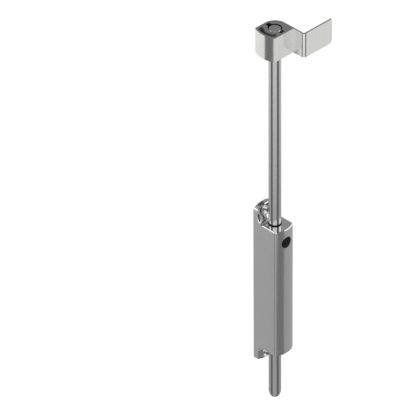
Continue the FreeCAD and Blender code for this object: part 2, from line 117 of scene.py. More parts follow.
class GateBoltSizes(bpy.types.PropertyGroup):
    """Sizes of the finer pieces, in millimetres here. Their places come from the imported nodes."""
    __annotations__ = lengths(
        front_bulge=(5.0, "Height of the housing's front arc"),
        front_corner=(2.5, "Radius between the housing's sides and its front"),
        upper_lobe=(23.2, "Height of the upper lobe"),
        lower_lobe=(24.4, "Height of the lower lobe"),
        lobe_thickness=(7.0, "Thickness of the lobes"),
        arch_radius=(32.0, "Radius of each arched end"),
        arch_corner=(3.0, "Radius beside the arch"),
        cove_radius=(10.0, "Milled fillet between a lobe and the thick part"),
        rim_chamfer=(0.8, "Chamfer round each milled end"),
        main_bore=(12.0, "Radius of the housing's bore"),
        top_wall=(3.0, "Wall above that bore"),
        lower_seat=(13.0, "Radius of the lower bush's seat"),
        ring_depth=(0.6, "Depth of the groove for the lower ring"),
        keyway_half=(2.1, "Half the width of the keyway"),
        keyway_depth=(1.9, "Depth of the keyway in the bore"),
        brake_bore=(5.0, "Radius of the brake's bore"),
        plug_bore=(6.45, "Radius of the bore for the cap's plug"),
        plug_reach=(17.45, "Rod axis to the start of that bore"),
        cap_seat=(7.95, "Radius of the cap's seat"),
        seat_reach=(19.8, "Rod axis to the cap's seat"),
        fixing_inset=(8.4, "Fixing hole to the housing's end"),
        fixing_hole=(4.5, "Radius of a fixing hole"),
        countersink=(6.8, "Radius of its countersink"),
        hub_half_depth=(17.0, "Rod axis to the hub's flat front and back"),
        hub_left_reach=(21.4, "Rod axis to the crown of the bulged side"),
        hub_left_corner=(17.2, "Rod axis to the corners of the bulged side"),
        hub_corner_radius=(0.4, "Radius of those corners"),
        blade_thickness=(2.2, "Thickness of the bent blade"),
        blade_front_reach=(35.4, "Rod axis to the blade's front face"),
        blade_end_reach=(63.4, "Rod axis to the blade's end"),
        blade_bend_radius=(4.5, "Outside radius of the bend"),
        blade_root_fillet=(0.5, "Fillet where the blade leaves the hub"),
        blade_top_corner=(0.8, "Radius of the blade's upper end corner"),
        blade_bottom_corner=(5.0, "Radius of its lower end corner"),
        pocket_wall=(3.0, "Wall between the pocket and the bulge"),
        pocket_front_wall=(3.6, "Wall between the pocket and the flat sides"),
        pocket_hub_radius=(13.7, "Radius of the metal kept round the rod"),
        pocket_inner_limit=(9.0, "How near the rod axis the pocket comes"),
        pocket_corner_radius=(1.0, "Radius of the pocket's corners"),
        slot_width=(6.3, "Width of the slots beside the bore"),
        slot_half_length=(13.5, "Rod axis to the end of a slot"),
        bore_radius=(8.05, "Bore of the handle"),
        counterbore_radius=(9.0, "Wider mouth of that bore"),
        counterbore_depth=(3.0, "Depth of the wider mouth"),
        handle_ease=(0.12, "Rounding of the handle's cut edges"),
        set_screw_hole=(3.05, "Radius of the set screws' holes"),
        set_screw_radius=(3.0, "Radius of a set screw"),
        set_screw_spacing=(17.0, "Distance between the set screws"),
        set_screw_socket=(3.0, "Width and depth of a set screw's socket"),
        brake_screw_flats=(5.0, "Width of the brake screw's socket"),
        brake_screw_socket=(1.0, "Depth of the brake screw's socket"),
        thread_pitch=(1.0, "Pitch of the screws' threads"),
        thread_depth=(0.3, "Depth of the screws' threads"),
        pin_chamfer=(0.5, "Chamfer of the cross pin and of the cap's plug"),
        rod_chamfer=(0.6, "Chamfer on the rod's top"),
        tip_radius=(7.2, "Ball at the rod's lower end"),
        ring_width=(1.2, "Width of the rod's ring grooves"),
        ring_groove=(0.8, "Depth of those grooves"),
        groove_floor=(6.4, "Rod axis to the floor of the dog groove"),
        groove_half=(1.6, "Half the height of the dog groove"),
        lip_inner=(8.05, "Inside radius of the upper wiper"),
        lip_wall=(0.6, "Wall of the wiper's lip"),
        lip_flange=(1.4, "Thickness of the wiper's flange"),
        plug_radius=(6.4, "Radius of the cap's plug"),
        plug_length=(2.3, "Length of the cap's plug"),
        cap_dome=(0.4, "Height of the cap's low dome"),
        cap_edge=(0.3, "Rounding of the cap's edge"),
        spring_wire=(0.8, "Thickness of the spring's wire"),
        fixed_gap=(0.05, "Gap round a fixed pin"),
    ) | turns(
        tip_cone=(15.0, "Half angle of the cone above the rod's ball"),
    ) | like(FloatProperty, float, min=1.0)(
        spring_turns=(4.0, "Free turns of the spring"),
    )


class GateBoltColours(bpy.types.PropertyGroup):
    """Colours and finishes. Each is the plain colour of the clean material, except that the dark
    walls of the handle's pocket, bore and slots and the darker walls of the fixing holes are
    painted shade.
    """
    __annotations__ = tones(
        anodised=(0.60, "Anodised faces of the housing"),
        bare_cut=(0.60, "Freshly milled ends of the housing"),
        # Painted shade: the fixing holes are darker to stand in for the shade inside them.
        drilled=(0.42, "Walls and countersinks of the fixing holes"),
        handle=((0.83, 0.83, 0.82), "Drawn aluminium of the handle"),
        sawn=(0.42, "Cut ends of the handle"),
        # Painted shade: the pocket's walls are darkened to stand in for the shade deep inside the
        # pocket.
        pocket_walls=(0.16, "Dull walls of the handle's pocket"),
        # Painted shade: the bore and slot walls are nearly black to stand in for the shadow deep
        # inside them.
        bore_walls=(0.02, "Dark walls of the handle's bore and slots"),
        stainless=(0.57, "Ground stainless bar"),
        small_steel=((0.42, 0.42, 0.43), "Screws, pins and rings"),
        cap=(0.010, "Black cap of the brake"),
        rubber=(0.012, "Wiper rings"),
        bush=(0.05, "Bearing plastic"),
        nylon=((0.72, 0.70, 0.64), "Brake shoe"),
    ) | shares(
        anodised_roughness=(0.20, "Roughness of the anodised faces"),
        anodised_metal=(0.90, "Share of bare metal in the anodised faces"),
        cut_roughness=(0.06, "Roughness of the milled faces"),
        handle_roughness=(0.17, "Roughness of the handle"),
        rod_roughness=(0.11, "Roughness of the rod"),
        cap_gloss=(0.08, "Specular level of the black cap"),
    )


class GateBoltStudio(bpy.types.PropertyGroup):
    """Camera, floor and the soft room that the metal reflects."""
    __annotations__ = turns(
        azimuth=(-45.0, "Direction of the camera round the object"),
        elevation=(35.264, "Height angle of the camera"),
        left_flag=(-57.0, "Middle of the left flag, from the camera's direction"),
        left_half=(19.5, "Half the width of the left flag"),
        right_flag=(57.0, "Middle of the right flag, from the camera's direction"),
        right_half=(21.0, "Half the width of the right flag"),
        near_turn=(9.0, "How far the right flag stands nearer the middle on the near floor"),
        flag_edge=(4.0, "Width of a flag's soft edge"),
    ) | lengths(
        distance=(7651.0, "Camera to the aim"),
        aim_height=(123.5, "Height of the aim on the rod's axis"),
        frame_left=(93.15, "Picture's centre to the left of the aim"),
        frame_up=(6.22, "Picture's centre above the aim"),
        floor_drop=(250.0, "Floor below the rod's tip"),
        # Painted shadow on the floor, seen only in reflections: its radius here and its brightness
        # further below.
        near_floor=(650.0, "Radius of the darker floor below the object"),
        far_floor=(1250.0, "Radius beyond which the floor is as bright as the walls"),
    ) | shares(
        flag_top=(0.96, "Height at which the flags end, as the sine of its angle"),
    ) | lights(
        room_light=(0.85, "Brightness of the room for dull surfaces"),
        wall_light=(0.90, "Brightness of the walls in reflections"),
        front_light=(1.55, "Brightness of the room above the horizon in front"),
        left_flag_light=(0.19, "Brightness of the left dark flag"),
        right_flag_light=(0.20, "Brightness of the right dark flag"),
        # Painted shadow: the floor's brightness close below the object in reflections.
        near_light=(0.52, "Brightness of the floor close by in reflections"),
        ceiling_light=(0.40, "Brightness of the ceiling behind the object"),
        ceiling_dark=(0.12, "Brightness of its upper part"),
        box_light=(1.8, "Brightness of the two raised soft boxes"),
    ) | like(FloatProperty, float, unit="CAMERA")(
        lens=(553.5, "Focal length"),
    )


class Wire:
    """A shader socket. Its operators add Math nodes, so a mask can be written as an expression."""

    def __init__(self, tree, socket=None):
        self.tree, self.socket = tree, socket

    def make(self, kind, settings=None, inputs=None, output=0):
        """Adds a node of that type: its settings first, then a value or a link for each socket.

        Gives its output, or a list of them where output is a tuple.
        """
        node = self.tree.nodes.new(kind)
        for name, value in (settings or {}).items():
            setattr(node, name, value)
        for key, value in (inputs or {}).items():
            if isinstance(value, Wire):
                self.tree.links.new(value.socket, node.inputs[key])
            else:
                node.inputs[key].default_value = value
        if isinstance(output, tuple):
            return [Wire(self.tree, node.outputs[key]) for key in output]
        return Wire(self.tree, node.outputs[output]) if node.outputs else node

    def maths(self, operation, *values):
        return self.make("ShaderNodeMath", {"operation": operation}, dict(enumerate(values)))

    def __add__(self, other):
        return self.maths("ADD", self, other)

    def __sub__(self, other):
        return self.maths("SUBTRACT", self, other)

    def __rsub__(self, other):
        return self.maths("SUBTRACT", other, self)

    def __mul__(self, other):
        return self.maths("MULTIPLY", self, other)

    def __neg__(self):
        return 0.0 - self

    __radd__, __rmul__ = __add__, __mul__

    def size(self):
        return self.maths("ABSOLUTE", self)

    def highest(self, other):
        return self.maths("MAXIMUM", self, other)

    def rise(self, low, high):
        """0 below low, 1 above high, and a smooth step between."""
        return self.make("ShaderNodeMapRange", {"interpolation_type": "SMOOTHSTEP", "clamp": True},
                         {"Value": self, "From Min": low, "From Max": high})

    def near(self, middle, half, edge):
        """1 within half of the middle and 0 beyond, over a soft edge of that width."""
        return 1.0 - (self - middle).size().rise(half - edge / 2, half + edge / 2)

    def parts(self):
        """The x, y and z of a vector."""
        return self.make("ShaderNodeSeparateXYZ", None, {0: self}, (0, 1, 2))

    def noise(self, scale, detail=2.0, roughness=0.5):
        """Noise in 0..1 round 0.5. Three scales stretch it along the axes."""
        place = self
        if isinstance(scale, tuple):
            place = self.make("ShaderNodeMapping", None, {"Vector": self, "Scale": scale})
            scale = 1.0
        return self.make("ShaderNodeTexNoise", {"normalize": True}, {
            "Vector": place, "Scale": scale, "Detail": detail, "Roughness": roughness})

    def mix(self, other, share):
        """This number turned towards the other by a share."""
        return self.make("ShaderNodeMix", {"data_type": "FLOAT"}, {0: share, 2: self, 3: other})

    def shade(self, first, second):
        """The first colour turned towards the second by this share."""
        first, second = (t if isinstance(t, Wire) else (*t, 1.0) for t in (first, second))
        return self.make("ShaderNodeMix", {"data_type": "RGBA"}, {0: self, 6: first, 7: second}, 2)

    def tint(self, tone, low, high):
        """A tone times low to high, by this share."""
        return self.shade(scaled(tone, low), scaled(tone, high))


def scaled(tone, factor):
    """A tone times a factor, at most white."""
    return tuple(min(1.0, part * factor) for part in tone)


def blank(owner):
    """The first wire of a material or world whose nodes are cleared."""
    owner.use_nodes = True
    owner.node_tree.nodes.clear()
    return Wire(owner.node_tree)


def new_finish(name):
    """An empty material and its Object coordinates."""
    material = bpy.data.materials.new(name)
    return material, blank(material).make("ShaderNodeTexCoord", output="Object")


def close_finish(material, base, roughness, metal, height, depth, gloss=0.5):
    """Ends a material in one Principled BSDF. height, in 0..1, is a bump of that depth."""
    bump = base.make("ShaderNodeBump", None, {"Strength": 1.0, "Distance": depth, "Height": height})
    surface = base.make("ShaderNodeBsdfPrincipled", None, {
        "Base Color": base, "Roughness": roughness, "Metallic": metal, "Specular IOR Level": gloss,
        "Normal": bump})
    base.make("ShaderNodeOutputMaterial", None, {"Surface": surface})
    return material


def around(value, *marks):
    """A value that rows of a mask and its share move up and down; each mask has a mean of 0.5."""
    total = value - sum(share for _, share in marks) / 2
    for mask, share in marks:
        total = mask * share + total
    return total


def anodised_housing(c):
    """Anodised extrusion with fine lines along Z. Its milled ends are bare, brighter and smoother.
    The walls and countersinks of the fixing holes are rougher, as drilled, and are given a darker
    colour as painted shade."""
    material, place = new_finish("housing_finish")
    s = bpy.context.scene.gate_bolt_sizes
    x, y, z = place.parts()
    low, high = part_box("housing")
    top, bottom = high[2] - s.upper_lobe - s.rim_chamfer, low[2] + s.lower_lobe + s.rim_chamfer
    side = high[0]
    milled = z.rise(top + STEP, top + 2 * STEP).highest((-z).rise(STEP - bottom, 2 * STEP - bottom))
    milled *= (1.0 - x.size().rise(side - 2 * STEP, side - STEP)) * (-y).rise(STEP, 2 * STEP)

    def from_hole(level):
        rise = z - level
        return place.maths("SQRT", x * x + rise * rise)

    nearest = place.maths("MINIMUM", from_hole(high[2] - s.fixing_inset),
                          from_hole(low[2] + s.fixing_inset))
    drilled = 1.0 - nearest.rise(s.countersink, s.countersink + STEP)
    drilled *= (y + s.lobe_thickness).rise(0.0, STEP)

    lines = place.noise((2600.0, 2600.0, 14.0), 3.0)
    passes = place.noise((60.0, 2400.0, 2400.0))
    marks = place.noise((300.0, 5200.0, 300.0))
    grain, cloud = place.noise(5200.0), place.noise(18.0)
    base = (lines * 0.5 + cloud * 0.5).tint(c.anodised, 0.94, 1.06)
    base = milled.shade(base, passes.tint(c.bare_cut, 0.96, 1.04))
    # Painted shade: darker colour in the fixing holes; their rougher, marked finish below is real
    # drilling.
    base = drilled.shade(base, c.drilled)
    dull = around(c.anodised_roughness, (grain, 0.06), (cloud, 0.05))
    bright = around(c.cut_roughness, (passes, 0.04)).mix(around(0.21, (marks, 0.10)), drilled)
    metal = milled * (1.0 - c.anodised_metal) + c.anodised_metal
    height = (lines * 0.7 + grain * 0.3).mix(passes * 0.6, milled)
    return close_finish(material, base, dull.mix(bright, milled), metal, height, 0.0012 * MM)


def drawn_aluminium(c):
    """Handle: drawn lines along Z on the sides and saw marks on the cut ends."""
    material, place = new_finish("handle_finish")
    low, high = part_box("handle")
    z = place.parts()[2]
    edge = 0.05 * MM
    ends = z.rise(high[2] - 2 * edge, high[2] - edge)
    ends = ends.highest(1.0 - z.rise(low[2] + edge, low[2] + 2 * edge))
    lines = place.noise((3000.0, 3000.0, 10.0), 3.0)
    saw = place.noise((150.0, 3200.0, 10.0))
    cloud = place.noise(25.0)
    streaks = place.noise((420.0, 420.0, 2.0), 3.0, 0.6).rise(0.25, 0.75)
    base = (lines * 0.2 + streaks * 0.6 + cloud * 0.2).tint(c.handle, 0.90, 1.05)
    base = ends.shade(base, saw.tint(c.sawn, 0.94, 1.06))
    rough = around(c.handle_roughness, (lines, 0.08), (cloud, 0.05))
    rough = rough.mix(around(0.27, (saw, 0.10)), ends)
    return close_finish(material, base, rough, 1.0, lines.mix(saw, ends), 0.0015 * MM)


def ground_stainless(c):
    """Rod: fine grinding rings round the bar, a little wear where it slides, a darker cut end."""
    material, place = new_finish("rod_finish")
    rings = place.noise((30.0, 30.0, 5200.0), 3.0)
    wear = place.noise((900.0, 900.0, 22.0), 3.0)
    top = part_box("rod")[1][2]
    end = place.parts()[2].rise(top - 0.3 * MM, top - 0.1 * MM)
    base = end.shade(rings.tint(c.stainless, 0.97, 1.03), scaled(c.stainless, 0.78))
    rough = around(c.rod_roughness, (rings, 0.05), (wear, 0.05))
    return close_finish(material, base, rough, 1.0, rings * 0.6 + wear * 0.4, 0.0006 * MM)


def grained(name, tone, spread, cloud, marks, roughness, share=0.12, depth=0.008, metal=0.0,
            gloss=0.5):
    """A plain finish: cloud makes the tone darker and lighter by the spread, and marks roughen and
    dent it. Both are a noise's scale and detail, and without a cloud the marks do both. The depth
    is in millimetres."""
    material, place = new_finish(name)
    marks = place.noise(*marks)
    cloud = place.noise(*cloud) if cloud else marks
    base = cloud.tint(tone, 1.0 - spread, 1.0 + spread)
    roughness = around(roughness, (marks, share))
    return close_finish(material, base, roughness, metal, marks, depth * MM, gloss)


@cache
def finishes():
    """Every finish by name, made once."""
    c = bpy.context.scene.gate_bolt_colours

    # Painted shade: a dull dark finish for the walls of the pocket, bore and slots, standing in for
    # the shade inside them.
    def hollow(name, tone):
        drawn = (1800.0, 1800.0, 12.0), 3.0
        return grained(name, tone, 0.15, None, drawn, 0.60, 0.10, 0.006, gloss=0.3)

    def moulded(name, tone, grain, roughness, spread=0.15, gloss=0.5):
        return grained(name, tone, spread, (grain / 60.0,), (grain, 3.0), roughness, gloss=gloss)

    return {
        "housing": anodised_housing(c),
        "handle": drawn_aluminium(c),
        "pocket": hollow("pocket_painted_shade_finish", c.pocket_walls),
        "bore": hollow("bore_painted_shade_finish", c.bore_walls),
        "rod": ground_stainless(c),
        "steel": grained("small_steel_finish", c.small_steel, 0.10, (160.0,), (4200.0,), 0.28,
                         depth=0.002, metal=1.0),
        "cap": moulded("cap_finish", c.cap, 3600.0, 0.38, gloss=c.cap_gloss),
        "rubber": moulded("rubber_finish", c.rubber, 2400.0, 0.62, gloss=0.2),
        "bush": moulded("bush_finish", c.bush, 3000.0, 0.45),
        "nylon": moulded("nylon_finish", c.nylon, 2800.0, 0.50, spread=0.05),
    }


def dress(finish, *names):
    """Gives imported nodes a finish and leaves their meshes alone."""
    for name in names:
        node = frame["nodes"][name]
        for slot in node.material_slots:
            slot.material = finishes()[finish]
        if not node.material_slots:
            raise RuntimeError(name + " has no material slot")


def mesh_object(name, points, faces):
    """A new object in the scene from points and faces."""
    mesh = bpy.data.meshes.new(name)
    mesh.from_pydata(np.asarray(points, float).tolist(), [], faces)
    obj = bpy.data.objects.new(name, mesh)
    bpy.context.scene.collection.objects.link(obj)
    return obj


def tidy_mesh(mesh):
    """Joins points that coincide, drops empty faces, and turns the faces outwards."""
    work = bmesh.new()
    work.from_mesh(mesh)
    bmesh.ops.remove_doubles(work, verts=work.verts, dist=SAME_POINT)
    bmesh.ops.dissolve_degenerate(work, edges=work.edges, dist=SAME_POINT)
    bmesh.ops.recalc_face_normals(work, faces=work.faces)
    work.to_mesh(mesh)
    work.free()
    mesh.polygons.foreach_set("use_smooth", np.ones(len(mesh.polygons), bool))
    mesh.set_sharp_from_angle(angle=math.radians(SMOOTH_LIMIT))
    mesh.update()


def level_normals(obj):
    """Lets the large flat faces set the shading, so that only the small eased edges look round."""
    change = obj.modifiers.new("level_normals", "WEIGHTED_NORMAL")
    change.mode, change.weight, change.keep_sharp = "FACE_AREA", 100, True


def piece(name, shape, finish, body, replaced, inner=()):
    """A finished object from points and faces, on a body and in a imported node's place.

    inner lists further finishes, each with the first and last number of the faces that have it.
    """
    obj = mesh_object(name, *shape)
    mesh = obj.data
    which = np.zeros(len(mesh.polygons), np.int32)
    for number, (_, first, last) in enumerate(inner):
        which[first:last] = number + 1
    mesh.polygons.foreach_set("material_index", which)
    tidy_mesh(mesh)
    for key in (finish, *[row[0] for row in inner]):
        mesh.materials.append(finishes()[key])
    level_normals(obj)
    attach(obj, body)
    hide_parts(replaced)
    return obj


def cut_holes(obj, shapes, operation="DIFFERENCE"):
    """Subtracts shapes from an object for good, or keeps what it shares with them."""
    cutters = [mesh_object("cutter", *shape) for shape in shapes]
    obj.modifiers.clear()
    for cutter in cutters:
        tidy_mesh(cutter.data)
        change = obj.modifiers.new("hole", "BOOLEAN")
        change.operation, change.solver, change.object = operation, "EXACT", cutter
    graph = bpy.context.evaluated_depsgraph_get()
    cut, old = bpy.data.meshes.new_from_object(obj.evaluated_get(graph)), obj.data
    cut.name = old.name + "_cut"
    obj.modifiers.clear()
    obj.data = cut
    spent = [old] + [cutter.data for cutter in cutters]
    for cutter in cutters:
        bpy.data.objects.remove(cutter)
    for mesh in spent:
        bpy.data.meshes.remove(mesh)
    tidy_mesh(cut)
    level_normals(obj)


def middle(node):
    """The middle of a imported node's box."""
    return np.mean([[float(x) for x in corner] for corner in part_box(node)], axis=0)


def strip(count, first, second):
    """Quads between two closed rings of points that start at those numbers."""
    a = np.arange(count)
    b = (a + 1) % count
    return np.stack([first + a, first + b, second + b, second + a], axis=1).tolist()


def tube(rows, count):
    """Quads between each closed ring of count points and the next."""
    return [face for i in range(rows - 1) for face in strip(count, i * count, (i + 1) * count)]


def capped(points, count):
    """A closed tube: rings of count points each, one after the other, with a face at both ends."""
    ends = [list(range(count)), list(range(len(points) - count, len(points)))]
    return points, tube(len(points) // count, count) + ends


def circle(axis, other, segments):
    """Angles once round an axis, and the unit vectors there; they start at axis x other."""
    u = np.cross(axis, other)
    u /= np.linalg.norm(u)
    t = np.linspace(0.0, 2 * math.pi, segments, endpoint=False)
    return t, np.cos(t)[:, None] * u + np.sin(t)[:, None] * np.cross(axis, u)


def turned(profile, centre, axis, segments=96):
    """A turned surface: each (radius, height) of the profile is swept round the axis.

    point(i, j) = centre + height_i * axis + radius_i * (cos t_j * u + sin t_j * v), where u and v
    are at right angles to the axis and t_j runs once round. Radius 0 gives a closed pole.
    """
    axis = np.array(axis, float)
    _, ring = circle(axis, [1.0, 0.0, 0.0] if abs(axis[0]) < 0.9 else [0.0, 1.0, 0.0], segments)
    radius, height = np.array(profile, float).T
    points = np.array(centre) + height[:, None, None] * axis + radius[:, None, None] * ring[None]
    return points.reshape(-1, 3), tube(len(profile), segments)


def stepped(start, *steps):
    """Profile of a stepped bar or bore: each step has a radius and the height where it ends."""
    profile = [(0.0, start)]
    for radius, stop in steps:
        profile += [(radius, profile[-1][1]), (radius, stop)]
    return profile + [(0.0, steps[-1][1])]


def swing(x, y, radius, start, stop, steps):
    """Points of an arc round (x, y), angles in degrees."""
    t = np.radians(np.linspace(start, stop, steps))
    return np.stack([x + radius * np.cos(t), y + radius * np.sin(t)], axis=1)


def arc_radius(half, rise):
    """Radius of the arc that rises that far over a chord of twice half."""
    return (half**2 + rise**2) / (2 * rise)


def soften(loop, corners, radius, steps=5):
    """A loop whose numbered corners, the last one first, give way to short smooth curves.

    Each is (1 - t)^2 a + 2 t (1 - t) corner + t^2 b, with a and b that far along its two sides.
    """
    t = np.linspace(0.0, 1.0, steps)[:, None]
    for index in corners:
        corner = loop[index]
        a, b = (corner + (next_to - corner) / np.linalg.norm(next_to - corner) * radius
                for next_to in (loop[index - 1], loop[(index + 1) % len(loop)]))
        curve = (1 - t)**2 * a + 2 * t * (1 - t) * corner + t**2 * b
        loop = np.vstack([loop[:index], curve, loop[index + 1:]])
    return loop


def inset(loop, distance):
    """Moves each point of a loop to the left of its travel, by the mitre of its two sides."""
    ahead = np.roll(loop, -1, axis=0) - loop
    ahead /= np.linalg.norm(ahead, axis=1)[:, None]
    normal = np.stack([-ahead[:, 1], ahead[:, 0]], axis=1)
    both = normal + np.roll(normal, 1, axis=0)
    both /= np.linalg.norm(both, axis=1)[:, None]
    return loop + distance * both / np.maximum((both * normal).sum(axis=1), 0.3)[:, None]


def bulged_side(s):
    """Radius of the hub's bulged side, and the x of its centre from the rod axis."""
    radius = arc_radius(s.hub_half_depth, s.hub_left_reach - s.hub_left_corner)
    return radius, radius - s.hub_left_reach


def handle_outline(s):
    """Plan of the handle from the rod axis, against the clock: hub, bulged side, bend and blade.

    Also gives the number of the blade's first front point and how many pairs of points it has.
    """
    half = s.hub_half_depth
    wall_r, wall_x = bulged_side(s)
    sweep = math.degrees(math.atan2(half, s.hub_left_corner + wall_x))
    front, back = -s.blade_front_reach, s.blade_thickness - s.blade_front_reach
    inner_x, inner_r = half - s.blade_thickness, s.blade_bend_radius - s.blade_thickness
    bend_x, bend_y = half + inner_r, back + inner_r
    root = s.blade_root_fillet
    quarter = np.sin(np.radians(np.linspace(0, 90, 10)))
    radii = np.array([[s.blade_top_corner], [s.blade_bottom_corner]])
    along = np.unique(np.round(s.blade_end_reach - radii + radii * quarter, 7))
    ahead = np.stack([along, np.full(len(along), front)], axis=1)
    behind = np.stack([along[::-1], np.full(len(along), back)], axis=1)
    hub = swing(0.0, 0.0, half, 0, 90, 25)
    bulge = swing(wall_x, 0.0, wall_r, 180 - sweep, 180 + sweep, 33)
    inner_bend = swing(bend_x, bend_y, inner_r, 270, 180, 17)
    loop = np.vstack([
        hub,
        bulge,
        swing(inner_x - root, -half - root, root, 90, 0, 7),
        swing(bend_x, bend_y, s.blade_bend_radius, 180, 270, 25),
        ahead,
        behind,
        inner_bend,
    ])
    loop = soften(loop, (len(hub) + len(bulge) - 1, len(hub)), s.hub_corner_radius)
    return loop, len(loop) - len(inner_bend) - 2 * len(along), len(along)


def pocket_outline(s):
    """Plan of the hollow behind the bulged wall, with the clock."""
    wall_r, wall_x = bulged_side(s)
    r, side = wall_r - s.pocket_wall, s.hub_half_depth - s.pocket_front_wall
    sweep = math.degrees(math.asin(side / r))
    limit, hub_r = s.pocket_inner_limit, s.pocket_hub_radius
    turn_out = math.degrees(math.acos(limit / hub_r))
    outer = swing(wall_x, 0.0, r, 180 + sweep, 180 - sweep, 25)
    inner = swing(0.0, 0.0, hub_r, 180 - turn_out, 180 + turn_out, 25)
    loop = np.vstack([outer, [[-limit, side]], inner, [[-limit, -side]]])
    corners = len(outer) + len(inner) + 1, len(outer), len(outer) - 1, 0
    return soften(loop, corners, s.pocket_corner_radius)


def bore_outline(s, radius, split_radius):
    """Plan of the bore and its two slots, with the clock, with a point at the split radius."""
    half, reach = s.slot_width / 2, s.slot_half_length
    lift = math.degrees(math.asin(half / radius))
    split = math.sqrt(split_radius**2 - half**2)
    arc = swing(0.0, 0.0, radius, 90 - lift, lift - 90, 29)
    right = np.vstack([[[-half, reach], [half, reach], [half, split]], arc, [[half, -split]]])
    return np.vstack([right, -right])


def ring_points(loop, z):
    """A loop of plan points, from the rod axis, at one height or at a height for each."""
    heights = np.broadcast_to(np.asarray(z, float), (len(loop),))
    return np.stack([loop[:, 0], loop[:, 1] + ROD_Y, heights], axis=1)


def fill(loops, numbers):
    """Triangles between an outer loop and its holes; numbers are the point numbers of each loop."""
    flat = [[Vector((x, y, 0.0)) for x, y in loop] for loop in loops]
    index = np.concatenate(numbers)
    return [[int(index[i]) for i in triangle] for triangle in tessellate_polygon(flat)]


class Shell:
    """Points and faces of one closed surface, built ring by ring."""

    def __init__(self):
        self.points, self.faces, self.count = [], [], 0

    def wall(self, rings):
        """Strips between rings of equal length; gives the first points of the first and last."""
        size, starts = len(rings[0]), []
        for ring in rings:
            starts.append(self.count)
            self.points.append(ring)
            self.count += size
        for a, b in zip(starts[:-1], starts[1:]):
            self.faces += strip(size, a, b)
        return starts[0], starts[-1]


def eased_rings(loop, low, high, ease, steps=3):
    """Rings up a wall whose edges at low and high are rounded: low and high are heights by x."""
    rings = []
    t = np.radians(np.linspace(0, 90, steps + 1))
    for level, way in ((low, 1), (high, -1)):
        for a in t[::way]:
            moved = inset(loop, ease * (1 - math.sin(a)))
            rings.append(ring_points(moved, level(moved[:, 0]) + way * ease * (1 - math.cos(a))))
    return rings


def handle_shell(s):
    """The handle as one shell.

    Its plan outline is carried up from low(x) to high(x). Both heights are level, except near the
    blade's end, where each follows a quarter circle: high(x) = top - r + sqrt(r^2 - (x - x0)^2).
    """
    box_low, box_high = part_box("handle")
    bottom, top = box_low[2], box_high[2]

    def corner_drop(x, r):
        past = np.clip(x - (s.blade_end_reach - r), 0.0, r)
        return r - np.sqrt(r**2 - past**2)

    def high(x):
        return top - corner_drop(x, s.blade_top_corner)

    def low(x):
        return bottom + corner_drop(x, s.blade_bottom_corner)

    shell, ease = Shell(), s.handle_ease
    (outer, blade, pairs), pocket = handle_outline(s), pocket_outline(s)
    mouth = bore_outline(s, s.counterbore_radius, s.counterbore_radius)
    bore = bore_outline(s, s.bore_radius, s.counterbore_radius)
    ledge = top - s.counterbore_depth
    outer_low, outer_high = shell.wall(eased_rings(outer, low, high, ease))
    first_inside = len(shell.faces)
    pocket_low, pocket_high = shell.wall(eased_rings(pocket, low, high, ease))
    first_bore = len(shell.faces)
    bore_rings, mouth_rings = (eased_rings(loop, low, high, ease) for loop in (bore, mouth))
    half_way = len(bore_rings) // 2
    bore_low, bore_ledge = shell.wall(bore_rings[:half_way] + [ring_points(bore, ledge)])
    mouth_ledge, mouth_high = shell.wall([ring_points(mouth, ledge)] + mouth_rings[half_way:])
    last_inside = len(shell.faces)
    shell.faces += strip(len(bore), bore_ledge, mouth_ledge)
    last = blade + 2 * pairs - 1
    kept = np.r_[0:blade + 1, last:len(outer)]
    for start, *holes in ((outer_high, (pocket, pocket_high), (mouth, mouth_high)),
                          (outer_low, (pocket, pocket_low), (bore, bore_low))):
        loops = [inset(outer, ease)[kept]] + [inset(loop, ease) for loop, _ in holes]
        numbers = [kept + start] + [first + np.arange(len(loop)) for loop, first in holes]
        shell.faces += fill(loops, numbers)
        ahead = start + blade + np.arange(pairs)
        behind = start + last - np.arange(pairs)
        shell.faces += np.stack([ahead[:-1], ahead[1:], behind[1:], behind[:-1]], axis=1).tolist()
    # The walls of the pocket, the bore and the slots get the painted shade finishes.
    painted_shade_faces = [("pocket", first_inside, first_bore), ("bore", first_bore, last_inside)]
    return (np.vstack(shell.points), shell.faces), painted_shade_faces


def threaded(s, start, axis, span, radius, socket_flats, socket_depth, segments=48):
    """A socket screw without a head.

    The side is point(h, t) = start + h * axis + R(h, t) * (cos t, sin t), where R is the radius
    less a ridge wave of (h / pitch - t / 2 pi) that fades out near both ends. The outer end
    closes from a circle to a hexagon, which goes down as the socket.
    """
    axis, pitch = np.array(axis, float), s.thread_pitch
    t, ring = circle(axis, [0.0, 0.0, 1.0], segments)
    h = np.linspace(0.0, span, max(9, int(span / pitch * 10)))
    phase = (h[:, None] / pitch - t[None] / (2 * math.pi)) % 1.0
    wave = np.clip(1.6 * np.abs(2 * phase - 1) - 0.2, 0.0, 1.0)
    fade = np.clip(np.minimum(h, span - h) / (0.6 * pitch), 0.0, 1.0)[:, None]
    side = radius - s.thread_depth * (1 - (1 - wave) * fade)
    hexagon = socket_flats / 2 / np.cos((t + math.pi / 6) % (math.pi / 3) - math.pi / 6)
    end, mouth, bevel, drilled = 0.86, 1.06, 0.04, 1.15     # shares of radius, flats and depth
    nothing, rim = np.zeros(segments), np.full(segments, end * radius)
    tops = [(rim, span), (hexagon * mouth, span), (hexagon, span - bevel * socket_flats),
            (hexagon, span - socket_depth), (nothing, span - socket_depth * drilled)]
    radii = np.vstack([nothing, rim, side, [r for r, _ in tops]])
    heights = np.concatenate([[0.0, 0.0], h, [x for _, x in tops]])
    points = np.array(start) + heights[:, None, None] * axis + radii[:, :, None] * ring[None]
    return points.reshape(-1, 3), tube(len(heights), segments)


def joined(parts):
    """Several point and face lists as one."""
    points, faces, base = [], [], 0
    for p, f in parts:
        points.append(p)
        faces += [[i + base for i in face] for face in f]
        base += len(p)
    return np.vstack(points), faces


